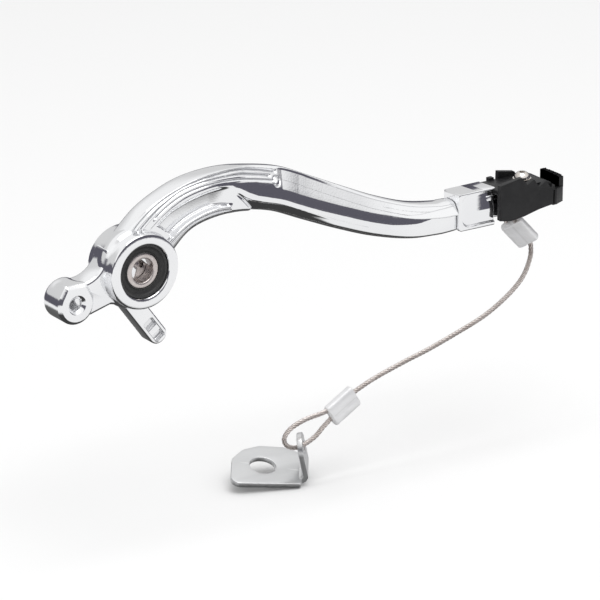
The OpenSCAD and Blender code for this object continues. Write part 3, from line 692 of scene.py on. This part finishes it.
def buildEye(e):
    # round at the back, and towards the front its radius goes over to the outline with a flat top
    arc = np.radians(np.linspace(*e["arc"], e["arcPoints"]))
    corners = np.vstack([[[e["flatBack"], e["flatTop"]], [e["flatFront"], e["flatTop"]]],
                         e["radius"] * np.stack([np.cos(arc), np.sin(arc)], axis=1)])
    outer = polar(corners, (0, 0), e["steps"])
    angle = np.linspace(0, 1, e["steps"], endpoint=False)
    c, out, back = e["chamfer"], e["front"], e["back"]
    # the thread's radius is a triangle wave of Y over pitch plus the turn
    y = np.linspace(out + e["sinkDeep"], back - e["backDeep"], e["threadRows"])[:, None]
    wave = np.abs(((y / e["pitch"] + angle[None, :]) % 1) * 2 - 1)
    thread = e["bore"] + e["thread"] * wave
    steps = ([(a, back - d) for a, d in e["backEdge"]] + [(0, h) for h in e["wall"]]
             + [(a, out + c + d) for a, d in e["frontEdge"]] + [(c + a, out + d) for a, d in e["rim"]])
    flat = [smooth(h, *e["flatFrom"]) for _, h in steps]
    sides = [(e["radius"] * (1 - f) + outer * f - a)[None, :] for f, (a, _) in zip(flat, steps)]
    ring = np.ones((1, e["steps"]))
    radii = np.vstack([ring * e["sink"], thread, ring * e["backSink"]] + sides
                      + [ring * (e["sink"] + e["sinkEdge"])])
    heights = np.r_[out + e["sinkStep"], y.ravel(), back, [h for _, h in steps], out]
    x, z = e["centre"]
    return forgedPiece("pushrodEye", [shell(rings(radii, heights[:, None], (x, 0, z)), ring=True)], 24)


buildEye(eyeForm)

# Web between the hub and the eye, hollowed by a round fillet above
webForm = {"low": -4.8, "high": 5.6, "edge": 1.4, "fillet": (-26.8, 10.9, 12.2), "arc": (-96, -2),
           "arcPoints": 26,
           "rest": [[-9, 9], [0, 0], [-5.25, -14.9], [-13.3, -12.95], [-22.75, -15.5], [-27, -14],
                    [-30.4, -8]]}


def buildWeb(w):
    cx, cz, r = w["fillet"]
    arc = np.radians(np.linspace(*w["arc"], w["arcPoints"]))
    curve = np.stack([cx + r * np.cos(arc), cz + r * np.sin(arc)], axis=1)
    line = np.vstack([curve, w["rest"]])
    rows = slabRows(line, edgeProfile(w["low"], w["high"], w["edge"]))
    return forgedPiece("eyeWeb", [shell(rows)])


buildWeb(webForm)


# Spring lug: a bar with a rimmed pocket in its face

lugForm = {"turn": -54.0, "thick": 4.0, "edge": 0.7, "pocketY": -1.6,
           "outer": [[8, -14.5], [34.3, -14.5], [34.3, -6.3], [8, -6.3]],
           "outerRadii": [1.4, 4.0, 3.6, 1.4],
           "pocket": [[21.8, -12.8], [32.6, -12.8], [32.6, -8.0], [21.8, -8.0]], "pocketRadius": 0.9,
           # insets of the pocket's floor and of its rim, with heights from the floor and the face
           "floor": [(0.5, 0), (0.25, 0.04), (0.1, 0.2)], "rim": [(0, 0.4), (-0.06, 0.12), (-0.22, 0)],
           "step": [[26.3, -13.4], [29.3, -13.4], [29.3, -7.4], [26.3, -7.4]], "stepY": -3.4,
           "stepRadius": 0.3, "stepEdge": 0.15, "stepSunk": 0.4}


def turnedFlat(points, degrees):
    c, s = math.cos(math.radians(degrees)), math.sin(math.radians(degrees))
    p = np.asarray(points, float)
    return np.stack([p[:, 0] * c - p[:, 1] * s, p[:, 0] * s + p[:, 1] * c], axis=1)


def buildLug(g):
    outer = turnedFlat(roundedLine(g["outer"], g["outerRadii"], 9), g["turn"])
    pocket = turnedFlat(roundedLine(g["pocket"], g["pocketRadius"], 9), g["turn"])
    t = g["thick"]
    wall = [(a, g["pocketY"] - d) for a, d in g["floor"]] + [(a, d - t) for a, d in g["rim"]]
    rows = np.vstack([slabRows(pocket, wall), slabRows(outer, edgeProfile(-t, t, g["edge"]))])
    step = turnedFlat(roundedLine(g["step"], g["stepRadius"], 5), g["turn"])
    pad = slabRows(step, edgeProfile(g["stepY"], g["pocketY"] + g["stepSunk"], g["stepEdge"], 3))
    return forgedPiece("springLug", [shell(rows), shell(pad)])


buildLug(lugForm)


# End block: a bar swept along X whose face sinks into a panel that is open at the front

blockForm = {"from": 159.3, "to": 178.0, "top": 1.8, "low": -15.2, "half": 6.15, "edge": 0.8,
             "chamfer": 0.75, "chamferLong": 0.8, "frontChamfer": 0.4, "taper": 0.3, "taperLong": 20,
             "backDrop": 0.7, "rows": 140, "columns": 130,
             "panel": {"start": 161.0, "rimTop": 1.1, "rimLow": 1.9, "corner": 3.6, "deep": 1.0,
                       "wall": 0.3, "scoop": 0.2, "scoopFrom": 163.0, "scoopTo": 175.0,
                       "scoopUnder": 1, "scoopHigh": 7}}


def buildBlock(b):
    # depth = half width less a quarter-round at the edges, less the panel where its distance is negative
    x = np.linspace(b["from"], b["to"], b["rows"])[:, None]
    end = (b["chamfer"] * (1 - smooth(x, b["from"], b["from"] + b["chamferLong"]))
           + b["frontChamfer"] * smooth(x, b["to"] - b["frontChamfer"], b["to"]))
    tall = (b["top"] - b["low"]) / 2
    mid = (b["top"] + b["low"]) / 2
    angle = np.linspace(0, np.pi, b["columns"])[None, :]
    taper = b["taper"] * (1 - (x - b["from"]) / b["taperLong"])
    z = mid + (tall - end - taper) * np.cos(angle)
    gap = tall - end - np.abs(z - mid)
    drop = b["edge"] - np.sqrt(b["edge"] ** 2 - np.clip(b["edge"] - gap, 0, b["edge"]) ** 2)
    plain = b["half"] - end - drop
    p = b["panel"]
    dx = p["start"] + p["corner"] - x
    panelMid = mid + (p["rimLow"] - p["rimTop"]) / 2
    dz = np.abs(z - panelMid) - (tall - (p["rimTop"] + p["rimLow"]) / 2 - p["corner"])
    away = np.hypot(np.maximum(dx, 0), np.maximum(dz, 0)) + np.minimum(np.maximum(dx, dz), 0) - p["corner"]
    scoop = (p["scoop"] * smooth(x, p["scoopFrom"], p["scoopTo"])
             * np.clip(z - mid + p["scoopUnder"], 0, p["scoopHigh"]))
    face = plain - (p["deep"] + scoop) * (1 - smooth(away, -p["wall"], p["wall"]))
    behind = z - b["backDrop"] * smooth(z, mid, b["top"])
    rows = np.stack([np.broadcast_to(x, (b["rows"], 2 * b["columns"])), np.hstack([-face, plain[:, ::-1]]),
                     np.hstack([z, behind[:, ::-1]])], axis=-1)
    return forgedPiece("endBlock", [shell(rows)], 34)


buildBlock(blockForm)

# Tongue that the step plate is screwed to
tongueForm = {"outline": [[174, -4.5], [195.5, -4.5], [199.6, -3.6], [201, 0], [199.6, 3.6], [195.5, 4.5],
                          [174, 4.5]],
              "radius": 0.9, "low": -12.5, "high": -2.2, "edge": 0.6}


def buildTongue(g):
    # the outline lies in X and Y here, and the profile runs up in Z
    line = roundedLine(g["outline"], g["radius"], 4)
    rows = slabRows(line, edgeProfile(g["low"], g["high"], g["edge"], 4))[:, :, [0, 2, 1]]
    return forgedPiece("tipTongue", [shell(rows)])


buildTongue(tongueForm)


# Step plate: rounded slabs for its walls, and a web bent down before the end wall

plateForm = {"x": 178.5, "half": 9.0, "inner": 6.8, "end": 213.5, "thick": 2.2, "edge": 0.15,
             "radius": 0.3, "innerRow": 0.03, "webRadius": 0.6, "webEdge": 0.1, "webSunk": 0.4,
             "combRadius": 0.12, "combEdge": 0.06, "cornerRadius": 0.25, "cornerLow": -11, "cornerHigh": -4,
             "near": [[0, -13], [0, 2.6], [11.4, 4.4], [14.22, 0.7], [17.8, 2.6], [20.62, -1.2],
                      [24.2, 0.8], [27.02, -3.1], [29, -1.55], [29, -10.4], [20.6, -11.5], [13.05, -13.2],
                      [5.8, -14]],
             "far": [[5.5, -13], [5.5, 1], [8.1, 1], [8.7, -3.6], [10.2, -3.6], [10.4, 3.2], [19.1, 1.6],
                     [21.5, -2.2], [24.4, -0.6], [27.3, -3.6], [29, -3.6], [29, -10.4], [14.5, -13]],
             "web": [[0, -2.2], [0, 0], [25.2, 0], [28, -1], [30.1, -3.3], [30.45, -7.6], [34, -7.6],
                     [34, -9.8], [28.25, -9.8], [27.55, -3.96], [25.45, -2.2]],
             "corner": [[206.5, 9], [208.5, 9], [213.5, 6.8], [213.5, 5.8], [211.3, 5.8], [211.3, 6.2],
                        [207.5, 6.8], [206.5, 6.8]],
             "comb": {"count": 5, "deep": 6.6, "top": 0.8, "bottom": -11.0, "pitch": 2.72, "share": 0.46,
                      "shoulder": 1.0, "margin": 0.05}}


def combOutline(c, half):
    # across the tip: straight sides and five pointed teeth between V cuts
    line = [[-half, c["bottom"]], [half, c["bottom"]], [half, c["top"] - c["shoulder"]]]
    wide = c["share"] * c["pitch"]
    for k in range(c["count"], -1, -1):
        y = (k - c["count"] / 2) * c["pitch"]
        right, left = min(y + wide, half - c["margin"]), max(y - wide, c["margin"] - half)
        line += [[right, c["top"]], [y, c["top"] - c["deep"]], [left, c["top"]]]
    return line + [[-half, c["top"] - c["shoulder"]]]


def withInnerRow(profile, more):
    # one more row on each flat side, so that the edge wear and the painted hollow shade stay at the rim
    first, last = list(profile[0]), list(profile[-1])
    return [[first[0] + more, first[1]], *profile, [last[0] + more, last[1]]]


def buildPlate(g):
    # outlines lie in X and Z, or Y and Z for the comb, or X and Y for the corners
    e, start = g["edge"], np.array([g["x"], 0.0])
    parts = []
    for name, low, high in (("near", -g["half"], -g["inner"]), ("far", g["inner"], g["half"])):
        line = roundedLine(np.array(g[name]) + start, g["radius"], 4)
        parts.append(slabRows(line, withInnerRow(edgeProfile(low, high, e, 4), g["innerRow"])))
    line = roundedLine(np.array(g["web"]) + start, g["webRadius"], 5)
    wide = g["inner"] + g["webSunk"]
    parts.append(slabRows(line, edgeProfile(-wide, wide, g["webEdge"], 3)))
    line = roundedLine(combOutline(g["comb"], g["inner"]), g["combRadius"], 4)
    side = edgeProfile(g["end"] - g["thick"], g["end"], g["combEdge"], 4)
    parts.append(slabRows(line, side)[:, :, [1, 0, 2]])
    line = roundedLine(g["corner"], g["cornerRadius"], 4)
    corner = slabRows(line, edgeProfile(g["cornerLow"], g["cornerHigh"], e, 4))[:, :, [0, 2, 1]]
    parts += [corner, corner * [1, -1, 1]]
    return makePiece("stepPlate", [shell(p) for p in parts], finish["satinBlack"], "pedal",
                     ["step_plate"], 28)


buildPlate(plateForm)


# Button-head screw: rings from the rim over the dome and down a hexagon socket

screwForm = {"x": 196.5, "seat": 0.8, "under": 0.6, "steps": 96,
             # radius and height of the rings from the rim to the crown
             "dome": [[3.35, 0], [3.5, 0.15], [3.5, 0.55], [3.42, 0.9], [3.2, 1.35], [2.85, 1.85],
                      [2.4, 2.3], [2.0, 2.62], [1.85, 2.7]],
             "socket": 1.45, "twist": 0.3, "lip": 0.14, "mouth": [2.75, 2.7], "floor": [2.75, 2.6],
             "socketDeep": 1.5, "floorShare": 0.5}


def buildScrew(g):
    # a hexagon's radius is its flat's distance over the cosine of the turn from the flat's middle
    angle = np.linspace(0, 2 * np.pi, g["steps"], endpoint=False)
    flat = g["socket"] * math.cos(math.pi / 6)
    hexagon = flat / np.cos((angle + g["twist"]) % (np.pi / 3) - np.pi / 6)
    dome = np.array(g["dome"])
    level = g["seat"] + np.r_[0, dome[:, 1], g["mouth"], np.array(g["floor"]) - g["socketDeep"]]
    radii = np.vstack([np.full(g["steps"], r) for r in (g["under"], *dome[:, 0])]
                      + [hexagon + g["lip"], hexagon, hexagon, hexagon * g["floorShare"]])
    rows = rings(radii, level[:, None], (g["x"], 0, 0), ((1, 0, 0), (0, 1, 0), (0, 0, 1)))
    return makePiece("buttonScrew", [shell(rows)], finish["zincSteel"], "pedal",
                     ["tip_screw"], 30)


buildScrew(screwForm)


# Inner sleeve: a turned tube with a grease groove and a grease hole in its bore

sleeveForm = {"bore": 5.0, "from": -8.0, "to": 10.0, "inset": 0.6, "steps": 180, "rows": 120,
              # radius and distance from the end, from the bore to the outside
              "side": [(5.08, 0.35), (5.25, 0.1), (5.45, 0), (7.05, 0), (7.3, 0.1), (7.45, 0.3),
                       (7.5, 0.6)],
              "groove": {"y": -2.0, "flat": 0.2, "half": 0.4, "deep": 0.5},
              "hole": {"y": 1.5, "angle": -0.1, "radius": 1.8, "soft": 0.3, "deep": 1.9}}


def buildSleeve(g):
    # the bore's radius grows in the groove, and where a point is nearer to the hole than its radius
    y = np.linspace(g["from"] + g["inset"], g["to"] - g["inset"], g["rows"])[:, None]
    angle = np.linspace(0, 2 * np.pi, g["steps"], endpoint=False)[None, :]
    groove, hole = g["groove"], g["hole"]
    above = np.abs(y - groove["y"])
    bore = g["bore"] + groove["deep"] * (1 - smooth(above, groove["flat"], groove["half"]))
    turn = (angle - hole["angle"] + np.pi) % (2 * np.pi) - np.pi
    away = np.hypot(turn * g["bore"], y - hole["y"])
    bore = bore + hole["deep"] * (1 - smooth(away, hole["radius"] - hole["soft"], hole["radius"]))
    back = [(r, g["to"] - d) for r, d in g["side"]]
    front = [(r, g["from"] + d) for r, d in g["side"][::-1]]
    flat = np.array(back + front)
    radii = np.vstack([bore, np.repeat(flat[:, :1], g["steps"], axis=1)])
    heights = np.r_[y.ravel(), flat[:, 1]][:, None]
    return makePiece("innerSleeve", [shell(rings(radii, heights), ring=True)], finish["groundSteel"],
                     "sleeve", ["pivot_sleeve"], 30)


buildSleeve(sleeveForm)

# Outboard seal: a rubber ring with a raised rim and a lip that touches the sleeve

sealForm = {"steps": 160, "profile": [
    [11.5, -5.6], [11.5, -8.1], [11.35, -8.45], [11.1, -8.6], [10.6, -8.6], [10.35, -8.5], [10.1, -8.15],
    [9.8, -7.95], [9.2, -7.8], [8.6, -7.7], [8.2, -7.75], [7.8, -8.2], [7.62, -8.35], [7.53, -8.2],
    [7.53, -6.3], [8.5, -5.6]]}
makePiece("outerSealRing", [revolve(sealForm["profile"], sealForm["steps"])], finish["sealRubber"], "pedal",
          ["outer_seal"], 30)


# Ferrules: squeezed tubes, flat in the middle and rolled in at the ends

def turnAbout(axis, degrees):
    a = math.radians(degrees)
    c, s = math.cos(a), math.sin(a)
    i, j = {"x": (1, 2), "y": (2, 0), "z": (0, 1)}[axis]
    m = np.eye(3)
    m[i, i], m[i, j], m[j, i], m[j, j] = c, -s, s, c
    return m


ferruleForm = {"long": 14.4, "wide": 10.4, "thick": 4.5, "roll": 0.45, "rollFrom": 0.86, "rollLong": 0.14,
               "power": 0.6, "valley": 0.35, "valleyWide": 0.8, "rows": 61, "columns": 96,
               # radius and distance past the end of a collar's rings
               "collar": [(1.12, 0.2), (1.34, 0.16), (1.42, 0), (1.34, -0.3), (1.12, -1.2)],
               "collarColumns": 28}


def buildFerrule(name, node, place, turn, spread, f):
    # sections are superellipses with a valley between the two strands; they shrink at both ends
    t = np.linspace(-1, 1, f["rows"])[:, None]
    around = np.linspace(0, 2 * np.pi, f["columns"], endpoint=False)[None, :]
    x = t * f["long"] / 2
    near = np.clip((np.abs(t) - f["rollFrom"]) / f["rollLong"], 0, 1)
    shrink = f["roll"] * (1 - np.sqrt(1 - near ** 2))
    c, s = np.cos(around), np.sin(around)
    wide = (f["wide"] / 2 - shrink) * np.sign(c) * np.abs(c) ** f["power"]
    valley = f["valley"] * np.exp(-(wide / f["valleyWide"]) ** 2)
    thick = (f["thick"] / 2 - shrink - valley) * np.sign(s) * np.abs(s) ** f["power"]
    bodies = [np.stack([np.broadcast_to(x, wide.shape), wide, thick], axis=-1)]
    # the rope's two strands leave through short collars
    collar = np.array(f["collar"])
    radii = collar[:, :1] * np.ones((1, f["collarColumns"]))
    heights = collar[:, 1:] + f["long"] / 2
    for side in spread:
        ring = rings(radii, heights, (0, side, 0), ((0, 1, 0), (0, 0, 1), (1, 0, 0)))
        bodies += [ring * [end, 1, 1] for end in (-1, 1)]
    parts = [shell(body @ turn.T + np.array(place)) for body in bodies]
    return makePiece(name, parts, finish["pressedAluminium"], "pedal", [node], 40)


upperFerrule = buildFerrule("ferruleUpper", "upper_ferrule", (195.8, 0, -23.5),
                            turnAbout("y", 47) @ turnAbout("x", -51), (-1.3, 1.3), ferruleForm)
lowerFerrule = buildFerrule("ferruleLower", "lower_ferrule", (103.6, 0, -83.6),
                            turnAbout("y", -30) @ turnAbout("x", 90), (-1.5, 1.5), ferruleForm)


# Bent tab: a holed sheet, and a leg bent up from its front edge

tabForm = {"place": (71, 12, -107.5), "tilt": 16.3, "turn": -34, "thick": 2.3, "edge": 0.3,
           "outline": [[-13.3, -16], [16.9, -9.4], [16.9, 12.6], [9, 15.5], [-2, 14], [-9, 9.5],
                       [-13.3, 2]],
           "radii": [4, 1.6, 1.6, 4, 4, 4, 4], "hole": 5.7, "front": 16.4, "legWide": 13.0, "eyeHigh": 11.5,
           "eye": 2.4, "bend": 3.8, "fold": 109.0, "steps": 240, "fill": 54, "arcPoints": 30,
           "legBack": 5, "overlap": 0.6, "lift": 0.1, "thin": 0.9}


def buildTab(g):
    turn = turnAbout("x", g["tilt"]) @ turnAbout("z", g["turn"])
    axes = ((1, 0, 0), (0, 1, 0), (0, 0, 1))
    outer = polar(roundedLine(g["outline"], g["radii"], 8), (0, 0), g["steps"])
    radii, heights = holed(outer, g["hole"], -g["thick"], 0.0, g["edge"])
    sheet = rings(radii, heights, axes=axes)
    # the leg is flat at first, its hole at the origin, then everything past the bend line turns up
    fold = math.radians(g["fold"])
    half, reach = g["legWide"] / 2, g["bend"] * fold + g["eyeHigh"] + g["thick"] - g["bend"]
    arc = np.radians(np.linspace(-90, 90, g["arcPoints"]))
    back = -reach - g["legBack"]
    flat = np.vstack([[[back, half], [back, -half]],
                      half * np.stack([np.cos(arc), np.sin(arc)], axis=1)])
    outer = polar(flat, (0, 0), g["steps"])
    radii, heights = holed(outer, g["eye"], 0.0, g["thick"], g["edge"], g["fill"])
    leg = rings(radii, heights, axes=axes)
    along, depth = leg[..., 0] + reach, leg[..., 2]
    r = g["bend"]
    a = np.clip(along / r, 0, fold)
    past = np.maximum(along - r * fold, 0)
    x = np.where(along < 0, along, (r - depth) * np.sin(a) + past * math.cos(fold))
    z = np.where(along < 0, g["lift"] + depth * g["thin"],
                 r - (r - depth) * np.cos(a) + past * math.sin(fold))
    start = g["front"] - r + g["thick"] + g["overlap"]
    leg = np.stack([x + start, leg[..., 1], z - g["thick"]], axis=-1)
    parts = [shell(rows @ turn.T + np.array(g["place"], float), ring=True) for rows in (sheet, leg)]
    return makePiece("bentTab", parts, finish["brushedSheet"], "pedal", ["frame_tab"], 30)


bentTab = buildTab(tabForm)

# every CAD node gets a finish, also those that a piece above replaces
nodeFinishes = {"polishedForging": ["pedal_arm"], "groundSteel": ["pivot_sleeve"],
                "bearingSteel": ["bearing_cup", "needle_cage", "needle_rollers"],
                "sealRubber": ["outer_seal", "inner_seal"], "satinBlack": ["step_plate"],
                "zincSteel": ["tip_screw", "tip_washer"], "strandWire": ["safety_cable"],
                "pressedAluminium": ["upper_ferrule", "lower_ferrule"], "brushedSheet": ["frame_tab"]}
for name, nodes in nodeFinishes.items():
    for node in nodes:
        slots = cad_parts[node].data.materials
        slots.clear()
        slots.append(finish[name])
print("CAD nodes finished")


# Studio: a pale floor, and a world whose bands the metal mirrors

studio = {"floorDrop": 0.5 * mm, "floorHalf": 1.5, "floorColor": 0.9}


def buildFloor(s):
    z, h = cadBox[0][2] - s["floorDrop"], s["floorHalf"]
    mesh = bpy.data.meshes.new("floor")
    mesh.from_pydata([(-h, -h, z), (h, -h, z), (h, h, z), (-h, h, z)], [], [(0, 1, 2, 3)])
    floor = bpy.data.objects.new("floor", mesh)
    bpy.context.scene.collection.objects.link(floor)
    mat = bpy.data.materials.new("paleFloor")
    mat.use_nodes = True
    tree = mat.node_tree
    shader, out = tree.nodes["Principled BSDF"], tree.nodes["Material Output"]
    shader.inputs["Base Color"].default_value = (s["floorColor"],) * 3 + (1,)
    shader.inputs["Roughness"].default_value = 1.0
    shader.inputs["Specular IOR Level"].default_value = 0.0
    # mirrors look through the floor
    path, clear = addNode(tree, "ShaderNodeLightPath"), addNode(tree, "ShaderNodeBsdfTransparent")
    seen = chooseShader(tree, path.outputs["Is Glossy Ray"], shader.outputs[0], clear.outputs[0])
    link(seen, out.inputs["Surface"])
    mesh.materials.append(mat)


buildFloor(studio)

# heights of the world's bands, from -1 straight down to 1 straight up, and their tones
skyForm = {"strength": 1.0, "plain": 0.8,
           "near": [(-1, 0.05), (-0.72, 0.05), (-0.63, 0.5), (-0.56, 0.9), (-0.16, 0.92), (-0.10, "slate"),
                    (0.31, "slate"), (0.38, 0.8), (0.46, 1.0), (0.82, 1.0), (0.94, 0.62), (1, 0.62)],
           "far": [(-1, 0.05), (-0.62, 0.10), (-0.48, 0.14), (-0.40, 0.9), (-0.30, 0.9), (-0.24, "slate"),
                   (0.10, "slate"), (0.17, 0.66), (0.45, 0.68), (0.62, 0.95), (1, 0.95)],
           "slate": (0.105, 0.102, 0.125), "sides": (-0.15, 0.25)}


def buildWorld(w):
    # glossy rays see bands by height, on the camera's side and on the far side; other rays plain light
    world = bpy.data.worlds.new("studioWorld")
    bpy.context.scene.world = world
    world.use_nodes = True
    tree = world.node_tree
    tree.nodes.clear()
    split = addNode(tree, "ShaderNodeSeparateXYZ")
    link(addNode(tree, "ShaderNodeTexCoord").outputs["Generated"], split.inputs[0])
    level = addNode(tree, "ShaderNodeMapRange")
    level.inputs["From Min"].default_value = -1
    link(split.outputs["Z"], level.inputs["Value"])
    ramps = []
    for side in ("near", "far"):
        ramp = addNode(tree, "ShaderNodeValToRGB")
        stops = ramp.color_ramp.elements
        last = len(w[side]) - 1
        for k, (height, tone) in enumerate(w[side]):
            at = (height + 1) / 2
            stop = stops[0] if k == 0 else stops[len(stops) - 1] if k == last else stops.new(at)
            stop.position = at
            stop.color = (*w["slate"], 1) if tone == "slate" else (tone, tone, tone, 1)
        link(level.outputs["Result"], ramp.inputs["Fac"])
        ramps.append(ramp.outputs["Color"])
    sided = mapped(tree, split.outputs["Y"], *w["sides"])
    mirror = addNode(tree, "ShaderNodeBackground")
    link(mixColors(tree, sided, ramps[0], ramps[1]), mirror.inputs["Color"])
    mirror.inputs["Strength"].default_value = w["strength"]
    plain, white = addNode(tree, "ShaderNodeBackground"), addNode(tree, "ShaderNodeBackground")
    plain.inputs["Color"].default_value = (w["plain"],) * 3 + (1,)
    white.inputs["Color"].default_value = (1, 1, 1, 1)
    path = addNode(tree, "ShaderNodeLightPath")
    seen = chooseShader(tree, path.outputs["Is Glossy Ray"], plain.outputs[0], mirror.outputs[0])
    seen = chooseShader(tree, path.outputs["Is Camera Ray"], seen, white.outputs[0])
    link(seen, addNode(tree, "ShaderNodeOutputWorld").inputs["Surface"])


buildWorld(skyForm)

lampForm = {"place": (0.1, -0.3, 1.4), "aim": (0.09, 0.0, 0.0), "size": 1.2, "power": 10}


def softLamp(g):
    data = bpy.data.lights.new("topLamp", "AREA")
    data.shape, data.size, data.energy = "SQUARE", g["size"], g["power"]
    data.specular_factor = 0.0
    lamp = bpy.data.objects.new("topLamp", data)
    back = Vector(g["place"]) - Vector(g["aim"])
    lamp.matrix_world = Matrix.Translation(g["place"]) @ back.to_track_quat("Z", "Y").to_matrix().to_4x4()
    bpy.context.scene.collection.objects.link(lamp)


softLamp(lampForm)
bpy.context.scene.view_settings.view_transform = "Standard"
print("studio lit")
